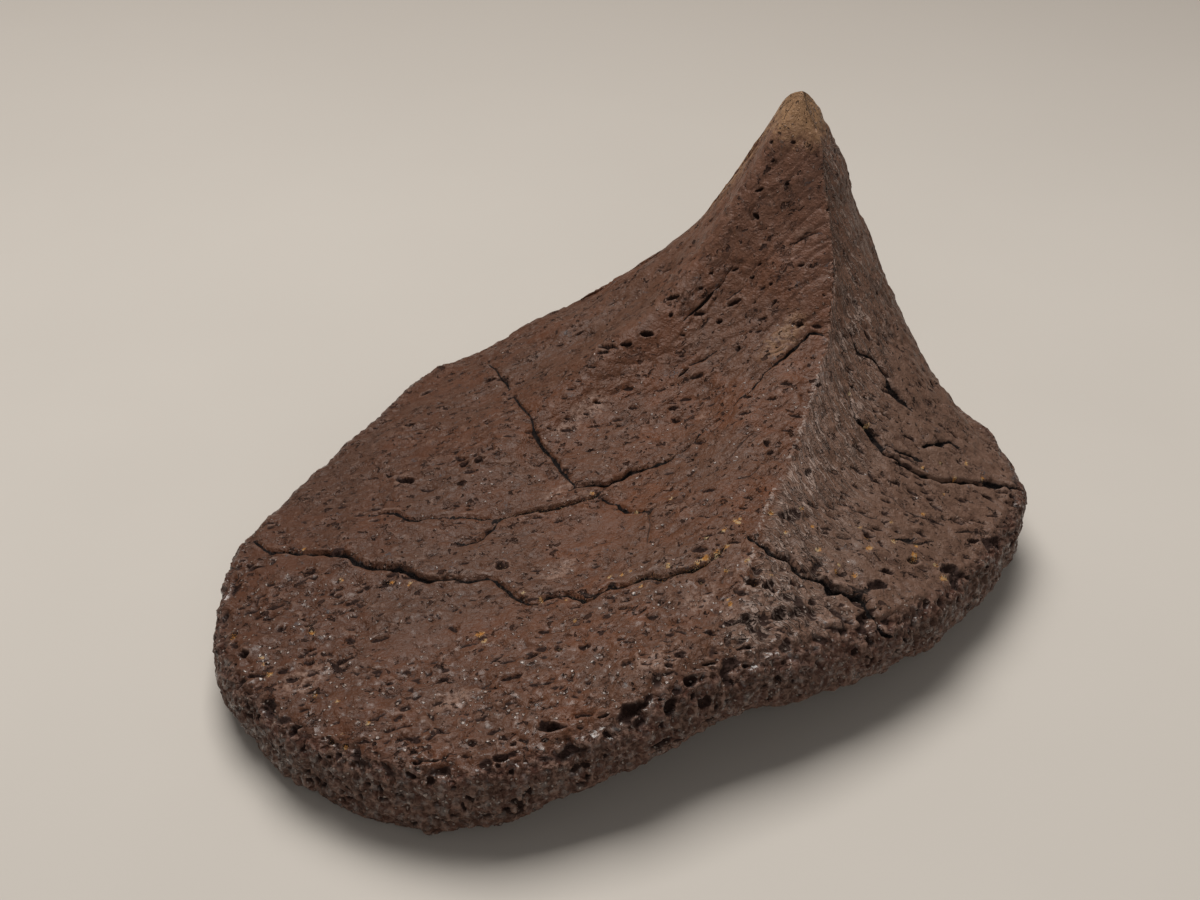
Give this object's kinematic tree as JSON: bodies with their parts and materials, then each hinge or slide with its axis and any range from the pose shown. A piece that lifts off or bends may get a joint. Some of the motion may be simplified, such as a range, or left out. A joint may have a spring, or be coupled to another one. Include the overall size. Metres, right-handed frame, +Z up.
{
  "type": "ankylosaur scute fossil",
  "caption": "Keeled ankylosaur scute: a thick rounded plate of cracked, pitted fossil bone whose keel rises to a spike, lying free on its dished underside.",
  "frame": {"origin": "middle of the plate's outline seen from above, at the height of the surface it rests on", "axes": "+Z up; +Y along the keel, from its low foot to the spike; +X to the plate's narrow side"},
  "size_m": [0.1143, 0.1188, 0.0579],
  "materials": {
    "fossil_bone": "matt to slightly satin purple-brown fossil bone with ochre specks"
  },
  "bodies": {
    "root": {"scute": "fossil_bone"}
  },
  "joints": []
}
